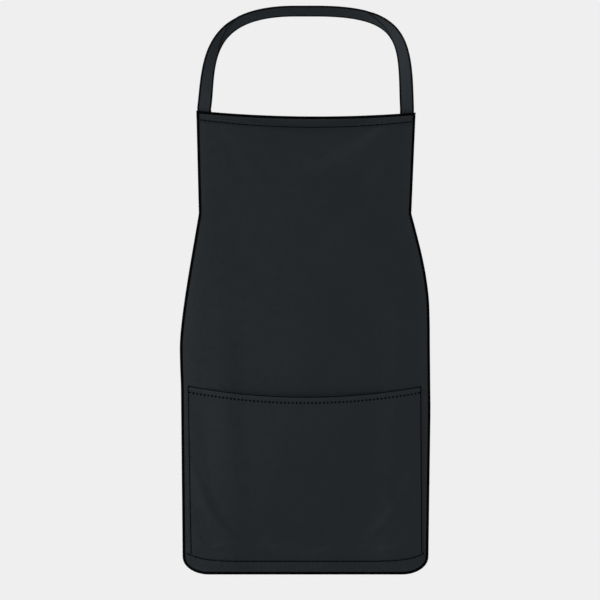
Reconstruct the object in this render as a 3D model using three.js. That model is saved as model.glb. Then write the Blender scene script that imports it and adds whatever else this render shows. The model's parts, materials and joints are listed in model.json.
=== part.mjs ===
// A bib-style lead apron, hanging as it is worn: a neck strap holds the two top corners of a bib,
// the bib widens into a skirt, and a full-width pocket is sewn across the lower skirt.
// The panel is a stack of a nylon cover, two lead-vinyl sheets and a lining, bound at its edge.
//
// Millimetres. +x is the viewer's right, +y points away from the viewer and +z is up.
// The origin is the middle of the neck band's inner face, where it rests on the nape.

import * as THREE from 'three';

// Outline of the panel, as seen from the front
const BIB_TOP_Z = -241;           // the level of the bib's corners
const BIB_TOP_SAG = 11.5;         // the top edge dips this far in its middle
const BIB_TOP_TILT = 2.4;         // the left corner is this much higher than the mean, the right lower
const BIB_TOP_HALF = 262;
const WAIST_Z = -485;
const HIP_Z = -640;               // where the sheet bends over a seated lap
const CORNER_Z = -1308;           // where the bottom corners start to round
const CORNER_WIDTH = 62;
const CORNER_HEIGHT = 42;

// Half width of each side: down the bib, along the flare's curve, then down the skirt
const SIDES = {
  left: {
    sign: -1,
    top: [261, -242],
    flare: [[255, WAIST_Z], [275, -605], [301, -740], [301, -818]],
    skirt: [[298, -900], [294, CORNER_Z]],
  },
  right: {
    sign: 1,
    top: [263, -246],
    flare: [[253, WAIST_Z], [270, -550], [297, -640], [297, -735]],
    skirt: [[299, -960], [294, CORNER_Z]],
  },
};

// Depth of the panel: it bows round the wearer, less where the strap spreads the corners
const STRAP_SETBACK = 150;        // from the nape forward to the strap's lower ends
const BOW_TOP = 2.4e-4;           // depth is bow times x squared
const BOW_HIP = 4.4e-4;
const LEAN_HIP = 14;              // the middle stands this far back at the hip
const LEAN_HEM = 8;

// Layers, from the front to the back
const COVER = 0.8;
const LEAD = 1.0;
const GAP = 0.3;
const LEAD_INSET = 10;
const OUTER_LEAD_AT = COVER + GAP;
const INNER_LEAD_AT = OUTER_LEAD_AT + LEAD + GAP;
const LINING_AT = INNER_LEAD_AT + LEAD + GAP;
const STACK = LINING_AT + COVER;
const HIP_GAP = 0.6;

// Edge binding, a folded tape
const BINDING_WIDTH = 5;
const BINDING_TAPE = 0.8;

// Hems
const FACING_INSET = BINDING_WIDTH + 1.2;
const FACING_FRONT = -GAP - COVER;
const TOP_HEM_HEIGHT = 28;
const TOP_HEM_TAPER = 5;          // the hem is this much lower at its ends
const BOTTOM_HEM_Z = -1318;
const BOTTOM_HEM_RISE = 10;       // how far the hem line rises by BOTTOM_HEM_TURN from the middle
const BOTTOM_HEM_TURN = 262;
const BOTTOM_HEM_HALF = 286;

// Pocket
const POCKET_MOUTH_Z = -924;
const POCKET_MOUTH_RISE = 26;
const POCKET_LEFT = [-283.2, -276];   // x at the mouth and at the bottom
const POCKET_RIGHT = [278, 280.4];
const POCKET_CLOTH = 0.9;
const POCKET_CLEARANCE = 0.5;     // between the cloth and the skirt at the side seams
const POCKET_HEM_GAP = 1.2;       // between its bottom edge and the bottom hem
const POCKET_SLACK = 20;          // how far the middle of the mouth stands off the skirt
const POCKET_HEM_HEIGHT = 18;
const POCKET_HEM_INSET = 14;      // the turned hem stops short of the side seams
const POCKET_STITCH_DROP = 15;

// Threads
const THREAD_WIDTH = 1.2;
const THREAD_HEIGHT = 0.5;
const SEAM_ALLOWANCE = 3;

// Neck strap: webbing that lies flat on the chest and turns its face to the nape
const STRAP_WIDTH = 34;
const STRAP_THICKNESS = 2.4;
const STRAP_CLEARANCE = 2.0;      // between the lining and the strap
const STRAP_AXIS_Z = -235.5;      // the fold where the bib swings from the strap
const STRAP_AXIS_GAP = 3.5;       // bare length of the fold on each side of its axis
const STRAP_AT_CORNER = 4;        // how much further back the outer edge is at the corners
const STRAP_AT_NAPE = -22;        // and how much further forward it is at the nape
const NAPE_HALF = 24;             // half length of the straight stretch at the nape
const STRAP_STEPS = 20;
const STRAP_CURVES = {
  left: [[-249.9, 0], [-228.6, -133.6], [-243.4, STRAP_AXIS_Z + STRAP_AXIS_GAP]],
  right: [[246.3, 0], [236.7, -73.4], [243.7, STRAP_AXIS_Z + STRAP_AXIS_GAP]],
};
const TAB_LENGTH = 62;
const TAB_X = { left: -243.2, right: 243.7 };
const TAB_STITCH_WIDTH = 26;
const TAB_STITCH_HEIGHT = 44;

const COLUMNS = 14;               // across the sheets
const STRIP_COLUMNS = 28;         // across the hems, whose edges turn up at their ends

// ---------------------------------------------------------------- materials

function cloth(colour, roughness) {
  return new THREE.MeshStandardMaterial({ color: colour, roughness, metalness: 0 });
}

const MATERIALS = {
  cover: () => cloth(0x23272a, 0.6),
  lining: () => cloth(0x2b3034, 0.7),
  lead: () => cloth(0x4a4d50, 0.5),
  binding: () => cloth(0x0b0c0d, 0.65),
  webbing: () => cloth(0x23272a, 0.75),
  thread: () => cloth(0x070808, 0.6),
};

// ------------------------------------------------------------ small helpers

function mix(a, b, share) {
  return a + (b - a) * share;
}

function clamp01(value) {
  return Math.min(1, Math.max(0, value));
}

function steps(count) {
  return Array.from({ length: count + 1 }, (_, i) => i / count);
}

function levels(from, to, count) {
  return steps(count).map((share) => mix(from, to, share));
}

function closedSolid(name, material, points, triangles) {
  const geometry = new THREE.BufferGeometry();
  geometry.setAttribute('position', new THREE.Float32BufferAttribute(points.flat(), 3));
  let volume = 0;
  for (const [a, b, c] of triangles) {
    const [p, q, r] = [points[a], points[b], points[c]].map((v) => new THREE.Vector3(...v));
    volume += p.dot(q.cross(r));
  }
  const facing = volume < 0 ? triangles.map(([a, b, c]) => [a, c, b]) : triangles;
  geometry.setIndex(facing.flat());
  geometry.computeVertexNormals();
  const mesh = new THREE.Mesh(geometry, MATERIALS[material]());
  mesh.name = name;
  return mesh;
}

// ----------------------------------------------------------------- outline

function curveXAt(points, z) {
  const curve = new THREE.CubicBezierCurve(...points.map((p) => new THREE.Vector2(...p)));
  let low = 0;
  let high = 1;
  for (let i = 0; i < 40; i += 1) {
    const middle = (low + high) / 2;
    if (curve.getPoint(middle).y > z) low = middle;
    else high = middle;
  }
  return curve.getPoint(low).x;
}

function lineXAt([x0, z0], [x1, z1], z) {
  return mix(x0, x1, (z - z0) / (z1 - z0));
}

function halfWidth(side, z) {
  const flareEnd = side.flare[3];
  const [knee, foot] = side.skirt;
  if (z >= WAIST_Z) return lineXAt(side.top, side.flare[0], z);
  if (z >= flareEnd[1]) return curveXAt(side.flare, z);
  if (z >= knee[1]) return lineXAt(flareEnd, knee, z);
  return lineXAt(knee, foot, Math.max(z, foot[1]));
}

function cornerCut(z, inset) {
  const height = CORNER_HEIGHT - inset;
  const share = clamp01((CORNER_Z - z) / height);
  return (CORNER_WIDTH - inset) * (1 - Math.sqrt(1 - share * share));
}

function edgeX(sideName, z, inset = 0) {
  const side = SIDES[sideName];
  return side.sign * (halfWidth(side, z) - inset - cornerCut(z, inset));
}

function across(u, z, inset = 0) {
  return mix(edgeX('left', z, inset), edgeX('right', z, inset), u);
}

function bibTopZ(x) {
  const share = x / BIB_TOP_HALF;
  return BIB_TOP_Z - BIB_TOP_SAG + BIB_TOP_SAG * share * share - BIB_TOP_TILT * share;
}

function bottomHemZ(x) {
  return BOTTOM_HEM_Z + BOTTOM_HEM_RISE * (Math.abs(x) / BOTTOM_HEM_TURN) ** 8;
}

function pocketMouthZ(x) {
  const half = (POCKET_RIGHT[0] - POCKET_LEFT[0]) / 2;
  return POCKET_MOUTH_Z + POCKET_MOUTH_RISE * (x / half) ** 2;
}

// ------------------------------------------------------------------- depth

const STRAP_AT = STACK + GAP + BINDING_TAPE + STRAP_CLEARANCE;
const BIB_FRONT_Y = -STRAP_SETBACK - STRAP_AT - BOW_TOP * TAB_X.right ** 2;

function frontY(x, z) {
  const down = clamp01((BIB_TOP_Z - z) / (BIB_TOP_Z - HIP_Z));
  const below = clamp01((HIP_Z - z) / (HIP_Z - CORNER_Z));
  const lean = LEAN_HIP * down + (LEAN_HEM - LEAN_HIP) * below;
  return BIB_FRONT_Y + lean + mix(BOW_TOP, BOW_HIP, down) * x * x;
}

// --------------------------------------------------------- solids from grids

// A closed slab over a grid of [x, z] points, between two depths behind the panel's front.
function slab(name, material, grid, front, back) {
  const rows = grid.length;
  const columns = grid[0].length;
  const depthAt = (depth, x, z) => (typeof depth === 'function' ? depth(x, z) : depth);
  const points = [front, back].flatMap((depth) => (
    grid.flat().map(([x, z]) => [x, frontY(x, z) + depthAt(depth, x, z), z])
  ));
  const layer = rows * columns;
  const at = (row, column, side) => side * layer + row * columns + column;
  const triangles = [];
  const quad = (a, b, c, d) => triangles.push([a, b, c], [a, c, d]);
  for (let r = 0; r < rows - 1; r += 1) {
    for (let c = 0; c < columns - 1; c += 1) {
      quad(at(r, c, 0), at(r, c + 1, 0), at(r + 1, c + 1, 0), at(r + 1, c, 0));
      quad(at(r, c, 1), at(r + 1, c, 1), at(r + 1, c + 1, 1), at(r, c + 1, 1));
    }
    quad(at(r, 0, 0), at(r + 1, 0, 0), at(r + 1, 0, 1), at(r, 0, 1));
    quad(at(r, columns - 1, 0), at(r, columns - 1, 1), at(r + 1, columns - 1, 1), at(r + 1, columns - 1, 0));
  }
  for (let c = 0; c < columns - 1; c += 1) {
    quad(at(0, c, 0), at(0, c, 1), at(0, c + 1, 1), at(0, c + 1, 0));
    quad(at(rows - 1, c, 0), at(rows - 1, c + 1, 0), at(rows - 1, c + 1, 1), at(rows - 1, c, 1));
  }
  return closedSolid(name, material, points, triangles);
}

// A closed solid from rings of points that all have the same count, with flat ends.
function sweep(name, material, rings, endTriangles) {
  const size = rings[0].length;
  const triangles = [];
  for (let i = 0; i < rings.length - 1; i += 1) {
    for (let k = 0; k < size; k += 1) {
      const next = (k + 1) % size;
      const [a, b] = [i * size + k, i * size + next];
      triangles.push([a, b, b + size], [a, b + size, a + size]);
    }
  }
  const last = (rings.length - 1) * size;
  for (const [a, b, c] of endTriangles) {
    triangles.push([a, c, b], [last + a, last + b, last + c]);
  }
  return closedSolid(name, material, rings.flat(), triangles);
}

// ------------------------------------------------------ the panel's sheets

function bibGrid(inset) {
  const top = BIB_TOP_Z - inset;
  const rows = [...levels(HIP_Z + HIP_GAP / 2, WAIST_Z, 4), ...levels(WAIST_Z, top, 5).slice(1)];
  return rows.map((level) => steps(COLUMNS).map((u) => {
    const x = across(u, level, inset);
    const share = clamp01((level - WAIST_Z) / (top - WAIST_Z));
    return [x, level + (bibTopZ(x) - BIB_TOP_Z) * share];
  }));
}

function skirtGrid(inset) {
  const straight = levels(HIP_Z - HIP_GAP / 2, CORNER_Z, 13);
  const turn = [18, 36, 54, 72, 90].map((degrees) => (
    CORNER_Z - (CORNER_HEIGHT - inset) * Math.sin(THREE.MathUtils.degToRad(degrees))
  ));
  return [...straight, ...turn].map((z) => steps(COLUMNS).map((u) => [across(u, z, inset), z]));
}

function panelSheets(part, gridFor) {
  const cut = gridFor(0);
  const core = gridFor(LEAD_INSET);
  return [
    slab(`${part}_front_cover`, 'cover', cut, 0, COVER),
    slab(`${part}_lead_outer`, 'lead', core, OUTER_LEAD_AT, OUTER_LEAD_AT + LEAD),
    slab(`${part}_lead_inner`, 'lead', core, INNER_LEAD_AT, INNER_LEAD_AT + LEAD),
    slab(`${part}_back_lining`, 'lining', cut, LINING_AT, STACK),
  ];
}

// ------------------------------------------------------------ edge binding

// The tape's section: distance out from the cut edge, and depth behind the panel's front.
const BINDING_SECTION = [
  [-BINDING_WIDTH, -GAP - BINDING_TAPE],
  [GAP + BINDING_TAPE, -GAP - BINDING_TAPE],
  [GAP + BINDING_TAPE, STACK + GAP + BINDING_TAPE],
  [-BINDING_WIDTH, STACK + GAP + BINDING_TAPE],
  [-BINDING_WIDTH, STACK + GAP],
  [GAP, STACK + GAP],
  [GAP, -GAP],
  [-BINDING_WIDTH, -GAP],
];

// Outward directions at the nodes of a path that keeps the panel on its right, mitred at corners.
function mitres(path) {
  const normals = path.slice(1).map(([x, z], i) => {
    const along = new THREE.Vector2(x - path[i][0], z - path[i][1]).normalize();
    return new THREE.Vector2(-along.y, along.x);
  });
  return path.map((_, i) => {
    const before = normals[Math.max(i - 1, 0)];
    const after = normals[Math.min(i, normals.length - 1)];
    const middle = before.clone().add(after).normalize();
    return middle.divideScalar(middle.dot(before));
  });
}

function binding(name, path) {
  const directions = mitres(path);
  const rings = path.map(([x, z], i) => BINDING_SECTION.map(([out, depth]) => {
    const px = x + directions[i].x * out;
    const pz = z + directions[i].y * out;
    return [px, frontY(px, pz) + depth, pz];
  }));
  const section = BINDING_SECTION.map(([out, depth]) => new THREE.Vector2(out, depth));
  return sweep(name, 'binding', rings, THREE.ShapeUtils.triangulateShape(section, []));
}

function bibBinding() {
  const grid = bibGrid(0);
  const leftUp = grid.map((row) => row[0]);
  const acrossTop = grid.at(-1).slice(1, -1);
  const rightDown = grid.map((row) => row.at(-1)).reverse();
  return binding('bib_edge_binding', [...leftUp, ...acrossTop, ...rightDown]);
}

function skirtBinding() {
  const grid = skirtGrid(0);
  const rightDown = grid.map((row) => row.at(-1));
  const acrossBottom = grid.at(-1).slice(1, -1).reverse();
  const leftUp = grid.map((row) => row[0]).reverse();
  return binding('skirt_edge_binding', [...rightDown, ...acrossBottom, ...leftUp]);
}

// -------------------------------------------------------------------- hems

// Grid between an upper and a lower line that are given by x.
function stripGrid(left, right, lower, upper, rows = 1) {
  return steps(rows).map((v) => steps(STRIP_COLUMNS).map((u) => {
    const x = mix(left, right, u);
    return [x, mix(lower(x), upper(x), v)];
  }));
}

function threadGrid(left, right, line) {
  return stripGrid(left, right, (x) => line(x) - THREAD_WIDTH / 2, (x) => line(x) + THREAD_WIDTH / 2);
}

function topHemZ(x) {
  const share = x / BIB_TOP_HALF;
  return bibTopZ(x) - TOP_HEM_HEIGHT + TOP_HEM_TAPER * share * share;
}

function topHem() {
  const level = BIB_TOP_Z - TOP_HEM_HEIGHT;
  const left = edgeX('left', level, FACING_INSET);
  const right = edgeX('right', level, FACING_INSET);
  const facing = stripGrid(left, right, topHemZ, (x) => bibTopZ(x) - FACING_INSET);
  const thread = threadGrid(left + SEAM_ALLOWANCE, right - SEAM_ALLOWANCE, (x) => topHemZ(x) + SEAM_ALLOWANCE);
  return [
    slab('top_hem_facing', 'cover', facing, FACING_FRONT, -GAP),
    slab('top_hem_thread', 'thread', thread, FACING_FRONT - GAP - THREAD_HEIGHT, FACING_FRONT - GAP),
  ];
}

function bottomEdgeZ(x, inset) {
  const side = x < 0 ? SIDES.left : SIDES.right;
  const foot = side.skirt[1][0];
  const reach = (Math.abs(x) - foot + CORNER_WIDTH) / (CORNER_WIDTH - inset);
  const share = clamp01(reach);
  return CORNER_Z - (CORNER_HEIGHT - inset) * Math.sqrt(1 - share * share);
}

function bottomHem() {
  const lower = (x) => bottomEdgeZ(x, FACING_INSET);
  const facing = stripGrid(-BOTTOM_HEM_HALF, BOTTOM_HEM_HALF, lower, bottomHemZ);
  const reach = BOTTOM_HEM_HALF - SEAM_ALLOWANCE;
  const thread = threadGrid(-reach, reach, (x) => bottomHemZ(x) - SEAM_ALLOWANCE);
  return [
    slab('bottom_hem_facing', 'cover', facing, FACING_FRONT, -GAP),
    slab('bottom_hem_thread', 'thread', thread, FACING_FRONT - GAP - THREAD_HEIGHT, FACING_FRONT - GAP),
  ];
}

// ------------------------------------------------------------------ pocket

function pocketBottomZ(x) {
  return bottomHemZ(x) + POCKET_HEM_GAP;
}

// Depth of the panel's inner face: it leaves the skirt towards the middle of the mouth.
function pocketInner(x, z) {
  const bottom = pocketBottomZ(x);
  const up = clamp01((z - bottom) / (pocketMouthZ(x) - bottom));
  const edge = x < 0 ? mix(POCKET_LEFT[1], POCKET_LEFT[0], up) : mix(POCKET_RIGHT[1], POCKET_RIGHT[0], up);
  const inward = 1 - clamp01((x / edge) ** 2);
  return -POCKET_CLEARANCE - POCKET_SLACK * inward * up * (2 - up);
}

function pocketX(u, v) {
  return mix(mix(POCKET_LEFT[1], POCKET_LEFT[0], v), mix(POCKET_RIGHT[1], POCKET_RIGHT[0], v), u);
}

function pocketGrid(rows) {
  return rows.map((v) => steps(STRIP_COLUMNS).map((u) => {
    const x = pocketX(u, v);
    return [x, mix(pocketBottomZ(x), pocketMouthZ(x), v)];
  }));
}

function pocketStrip(drop, height, inset) {
  const left = POCKET_LEFT[0] + inset;
  const right = POCKET_RIGHT[0] - inset;
  const upper = (x) => pocketMouthZ(x) - drop;
  return stripGrid(left, right, (x) => upper(x) - height, upper);
}

function pocketSideThread(name, inset) {
  const grid = levels(0.01, 0.95, 8).map((v) => [-0.5, 0.5].map((edge) => {
    const x = pocketX(inset < 0 ? 1 : 0, v) + inset + edge * THREAD_WIDTH;
    return [x, mix(pocketBottomZ(x), pocketMouthZ(x), v)];
  }));
  return slab(name, 'thread', grid, onPocket(-GAP - THREAD_HEIGHT), onPocket(-GAP));
}

function onPocket(offset) {
  return (x, z) => pocketInner(x, z) - POCKET_CLOTH + offset;
}

function inPocket(offset) {
  return (x, z) => pocketInner(x, z) + offset;
}

function pocket() {
  const panel = pocketGrid(levels(0, 1, 8));
  const facing = pocketStrip(0, POCKET_HEM_HEIGHT, POCKET_HEM_INSET);
  const thread = pocketStrip(POCKET_STITCH_DROP, THREAD_WIDTH, SEAM_ALLOWANCE);
  return [
    slab('pocket_panel', 'cover', panel, onPocket(0), inPocket(0)),
    slab('pocket_hem_facing', 'cover', facing, inPocket(GAP), inPocket(GAP + COVER)),
    slab('pocket_hem_thread', 'thread', thread, onPocket(-GAP - THREAD_HEIGHT), onPocket(-GAP)),
    pocketSideThread('pocket_side_thread_left', SEAM_ALLOWANCE),
    pocketSideThread('pocket_side_thread_right', -SEAM_ALLOWANCE),
  ];
}

// ------------------------------------------------------------------- strap

// The strap's path on one side, from the nape to the bib's corner.
function strapCurve(sideName) {
  const sign = SIDES[sideName].sign;
  const [shoulder, chest, corner] = STRAP_CURVES[sideName];
  return new THREE.CubicBezierCurve3(
    new THREE.Vector3(sign * NAPE_HALF, 0, 0),
    new THREE.Vector3(shoulder[0], 0, shoulder[1]),
    new THREE.Vector3(chest[0], -STRAP_SETBACK, chest[1]),
    new THREE.Vector3(corner[0], -STRAP_SETBACK, corner[1]),
  );
}

// The webbing's section at a share of the way from the nape (0) to the corner (1).
function strapRing(sideName, share) {
  const curve = strapCurve(sideName);
  const sign = SIDES[sideName].sign;
  const middle = curve.getPoint(share);
  const along = curve.getTangent(share);
  const outer = new THREE.Vector2(-along.z, along.x).normalize().multiplyScalar(sign);
  const back = mix(STRAP_AT_CORNER, STRAP_AT_NAPE, 1 - share ** 3);
  const seen = Math.sqrt(STRAP_WIDTH ** 2 - back ** 2);
  const width = new THREE.Vector3(outer.x * seen, back, outer.y * seen).divideScalar(STRAP_WIDTH);
  const behind = new THREE.Vector3().crossVectors(along, width).normalize();
  if (behind.y < 0) behind.negate();
  return [[-1, -1], [1, -1], [1, 1], [-1, 1]].map(([wide, thick]) => (
    middle.clone()
      .addScaledVector(width, (wide * STRAP_WIDTH) / 2)
      .addScaledVector(behind, ((thick + 1) * STRAP_THICKNESS) / 2)
      .toArray()
  ));
}

function neckStrap() {
  const shares = steps(STRAP_STEPS);
  const left = shares.map((share) => strapRing('left', share)).reverse();
  const right = shares.map((share) => strapRing('right', share));
  return sweep('neck_strap', 'webbing', [...left, ...right], [[0, 1, 2], [0, 2, 3]]);
}

// The strap's sewn end behind each corner of the bib.
function strapTab(sideName) {
  const half = STRAP_WIDTH / 2;
  const top = STRAP_AXIS_Z - STRAP_AXIS_GAP;
  const grid = levels(top - TAB_LENGTH, top, 3).map((z) => (
    levels(-half, half, 2).map((x) => [TAB_X[sideName] + x, z])
  ));
  return slab(`strap_tab_${sideName}`, 'webbing', grid, STRAP_AT, STRAP_AT + STRAP_THICKNESS);
}

// One triangular opening between the lines of the box-and-cross stitch.
function stitchOpening(towards, width, height) {
  const line = THREAD_WIDTH / 2;
  const corner = (x, z) => new THREE.Vector2(x, z);
  const reachX = width / 2 - line;
  const reachZ = height / 2 - line;
  const slantX = line * Math.hypot(width, height) / height;
  const slantZ = line * Math.hypot(width, height) / width;
  const tip = towards.x ? corner(towards.x * slantX, 0) : corner(0, towards.z * slantZ);
  const ends = towards.x
    ? [1, -1].map((s) => corner(towards.x * reachX, s * (reachZ - slantZ)))
    : [1, -1].map((s) => corner(s * (reachX - slantX), towards.z * reachZ));
  return new THREE.Path([tip, ...ends]);
}

function strapStitch(sideName) {
  const [width, height] = [TAB_STITCH_WIDTH, TAB_STITCH_HEIGHT];
  const [x, z] = [width / 2 + THREAD_WIDTH / 2, height / 2 + THREAD_WIDTH / 2];
  const shape = new THREE.Shape([[-x, -z], [x, -z], [x, z], [-x, z]].map((p) => new THREE.Vector2(...p)));
  shape.holes = [{ x: 1 }, { x: -1 }, { z: 1 }, { z: -1 }].map((way) => stitchOpening(way, width, height));
  const geometry = new THREE.ExtrudeGeometry(shape, { depth: THREAD_HEIGHT, bevelEnabled: false });
  const position = geometry.getAttribute('position');
  const middleZ = STRAP_AXIS_Z - STRAP_AXIS_GAP - TAB_LENGTH / 2;
  for (let i = 0; i < position.count; i += 1) {
    const px = TAB_X[sideName] + position.getX(i);
    const pz = middleZ + position.getY(i);
    const depth = STRAP_AT + STRAP_THICKNESS + GAP + THREAD_HEIGHT - position.getZ(i);
    position.setXYZ(i, px, frontY(px, pz) + depth, pz);
  }
  const mesh = new THREE.Mesh(geometry, MATERIALS.thread());
  mesh.name = `strap_stitch_${sideName}`;
  return mesh;
}

// ---------------------------------------------------------------- assembly

const apron = new THREE.Group();
apron.name = 'lead_apron';
apron.add(
  neckStrap(),
  ...panelSheets('bib', bibGrid),
  bibBinding(),
  ...topHem(),
  ...['left', 'right'].flatMap((sideName) => [strapTab(sideName), strapStitch(sideName)]),
  ...panelSheets('skirt', skirtGrid),
  skirtBinding(),
  ...bottomHem(),
  ...pocket(),
);

export default apron;
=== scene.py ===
"""A bib-style lead apron, hanging by its neck strap as it is worn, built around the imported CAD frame.

Every outline, seam and layer is read from the CAD nodes. The sheets are rebuilt as single cloths from
the top edge to the hem, draped by Blender's cloth, and sewn with separate stitches.
Metres throughout. +x is the viewer's right, +y points away from the viewer and +z is up.
"""

import json
import math

import bpy
import numpy as np
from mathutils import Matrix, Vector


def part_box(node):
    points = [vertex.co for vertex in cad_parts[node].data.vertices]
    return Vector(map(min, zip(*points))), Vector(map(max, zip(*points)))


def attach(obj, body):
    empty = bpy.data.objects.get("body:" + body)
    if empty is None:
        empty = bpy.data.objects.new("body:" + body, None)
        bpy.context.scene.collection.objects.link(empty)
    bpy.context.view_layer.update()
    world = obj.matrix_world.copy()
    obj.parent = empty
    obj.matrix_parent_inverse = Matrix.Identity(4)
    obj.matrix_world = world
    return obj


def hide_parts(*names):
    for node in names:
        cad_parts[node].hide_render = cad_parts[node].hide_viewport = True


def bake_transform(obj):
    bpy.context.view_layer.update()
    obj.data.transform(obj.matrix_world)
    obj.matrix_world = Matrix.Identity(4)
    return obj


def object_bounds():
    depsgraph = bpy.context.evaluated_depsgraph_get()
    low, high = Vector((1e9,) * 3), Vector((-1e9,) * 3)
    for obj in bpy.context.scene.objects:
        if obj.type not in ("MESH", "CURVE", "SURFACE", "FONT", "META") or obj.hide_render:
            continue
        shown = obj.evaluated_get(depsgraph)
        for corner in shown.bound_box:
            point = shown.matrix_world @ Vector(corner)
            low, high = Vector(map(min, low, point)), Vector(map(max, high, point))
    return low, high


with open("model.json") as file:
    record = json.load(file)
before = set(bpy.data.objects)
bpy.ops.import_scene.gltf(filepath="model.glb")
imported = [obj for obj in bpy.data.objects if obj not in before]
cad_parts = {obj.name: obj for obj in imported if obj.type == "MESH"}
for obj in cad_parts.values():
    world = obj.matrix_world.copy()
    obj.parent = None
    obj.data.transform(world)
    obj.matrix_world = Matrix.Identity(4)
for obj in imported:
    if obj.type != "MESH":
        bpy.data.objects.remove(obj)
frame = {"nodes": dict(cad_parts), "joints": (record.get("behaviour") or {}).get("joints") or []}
CAD_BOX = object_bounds()

# Camera: seen straight from the front
VIEW_SIZE = 1.44
VIEW_OFFSET = (-0.0125, -0.0239)  # of the picture's middle from the middle of the CAD box
VIEW_DISTANCE = 4.0
FLOOR_HALF = 30
FLOOR_DROP = 0.1  # the apron hangs this far above the floor

# Mesh detail
COVER_STEP = 0.0042
LINING_STEP = 0.0065
LEAD_STEP = 0.012
CORNER_ROWS = 22
STRIP_STEP = 0.0035

# Thread
SEAM_STITCH = {"pitch": 0.0064, "length": 0.0061, "width": 0.0027, "height": 0.0011}
SADDLE_STITCH = {"pitch": 0.0094, "length": 0.0052, "width": 0.0045, "height": 0.0016}
TAB_STITCH = {"pitch": 0.0037, "length": 0.0034, "width": 0.0015, "height": 0.0008}
BINDING_STITCH = {"pitch": 0.0034, "length": 0.0027, "width": 0.0009, "height": 0.0005, "rings": 6}
STITCH_RINGS = 9
STITCH_SIDES = 8
TOP_SEAM_RISE = 0.003
BOTTOM_SEAM_DROP = 0.0018
ROW_INSET = 0.0008  # from the ends of a hem
MOUTH_STITCH_DROP = 0.0016
SIDE_ROW_TOP = 0.996  # of the way up the pocket's side
SADDLE_DROP = 0.0156
POCKET_SIDE_INSET = 0.0015

SIDES = {"left": -1, "right": 1}

# Strap: webbing, repeated from the CAD's curves as the shoulder, chest and corner points
STRAP_WIDTH = 0.034
STRAP_THICKNESS = 0.0024
STRAP_SETBACK = 0.15
STRAP_AT_CORNER = 0.004  # how much further back the outer edge is at the corners
STRAP_AT_NAPE = -0.022  # and how much further forward it is at the nape
NAPE_HALF = 0.024
STRAP_CURVES = {
    "left": [(-0.2499, 0.0), (-0.2286, -0.1336), (-0.2434, -0.232)],
    "right": [(0.2463, 0.0), (0.2367, -0.0734), (0.2437, -0.232)],
}
TAB_X = {"left": -0.2432, "right": 0.2437}
TAB_LENGTH = 0.062
STRAP_STEP = 0.003
SELVEDGE = 0.0047  # black edge of the webbing


# ---- small helpers

def mix(a, b, share):
    return a + (b - a) * share


def smoothstep(share):
    share = np.clip(share, 0, 1)
    return share * share * (3 - 2 * share)


def unit(vectors):
    return vectors / np.linalg.norm(vectors, axis=-1, keepdims=True)


def spaced(low, high, step):
    """Even values from low to high, about a step apart."""
    return np.linspace(low, high, max(2, round(abs(high - low) / step) + 1))


def lengths(points):
    """How far along a run of points each one is."""
    return np.concatenate([[0], np.cumsum(np.linalg.norm(np.diff(points, axis=0), axis=1))])


def taken(values, run, at):
    """Rows of values at places along a run."""
    return np.stack([np.interp(at, run, column) for column in values.T], axis=1)


def paired(rows, columns):
    """A grid of pairs from its rows' and its columns' values."""
    return np.stack(np.broadcast_arrays(rows[:, None], columns[None, :]), axis=-1)


def on_surface(surface, x, z):
    """Points of a surface y(x, z)."""
    return np.stack([x, surface(x, z), z], axis=-1)


def straight_out(points, way):
    """A run for stitches that all face one way: -1 is towards the viewer and 1 is away."""
    return points, np.tile((0.0, way, 0.0), (len(points), 1))


def joint_pos(name):
    return next(j for j in frame["joints"] if j["name"] == name)["pos_m"]


def mesh_points(mesh):
    places = np.empty(len(mesh.vertices) * 3)
    mesh.vertices.foreach_get("co", places)
    return places.reshape(-1, 3)


def placed(name, data):
    """A new object in the scene."""
    thing = bpy.data.objects.new(name, data)
    bpy.context.scene.collection.objects.link(thing)
    return thing


# ---- reading the CAD's sheets

def points_and_faces(node):
    """A CAD node's points, each once, and its triangles."""
    mesh = frame["nodes"][node].data
    mesh.calc_loop_triangles()
    points, index = np.unique(mesh_points(mesh).round(6), axis=0, return_inverse=True)
    corners = np.empty(len(mesh.loop_triangles) * 3, np.int32)
    mesh.loop_triangles.foreach_get("vertices", corners)
    return points, index.ravel()[corners].reshape(-1, 3)


def front_face(node):
    """A CAD sheet's points, and the triangles of the face towards the viewer."""
    points, faces = points_and_faces(node)
    a, b, c = (points[faces[:, i]] for i in range(3))
    normal = np.cross(b - a, c - a)
    return points, faces[normal[:, 1] < -0.5 * np.linalg.norm(normal, axis=1)]


def front_points(node):
    points, faces = front_face(node)
    return points[np.unique(faces)]


def front_outline(node):
    """The rim of a CAD sheet's front face as (x, z) points, anticlockwise for the viewer."""
    points, faces = front_face(node)
    edges = {(f[i], f[(i + 1) % 3]) for f in faces.tolist() for i in range(3)}
    following = {a: b for a, b in edges if (b, a) not in edges}
    order = [min(following)]
    while following[order[-1]] != order[0]:
        order.append(following[order[-1]])
    return points[order][:, (0, 2)]


def corner(loop, toward_x, toward_z):
    return int(np.argmax(loop @ np.array((toward_x, toward_z))))


def chain(loop, start, end):
    """The loop's points from one index on to another."""
    count = (end - start) % len(loop) + 1
    return loop[(start + np.arange(count)) % len(loop)]


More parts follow.
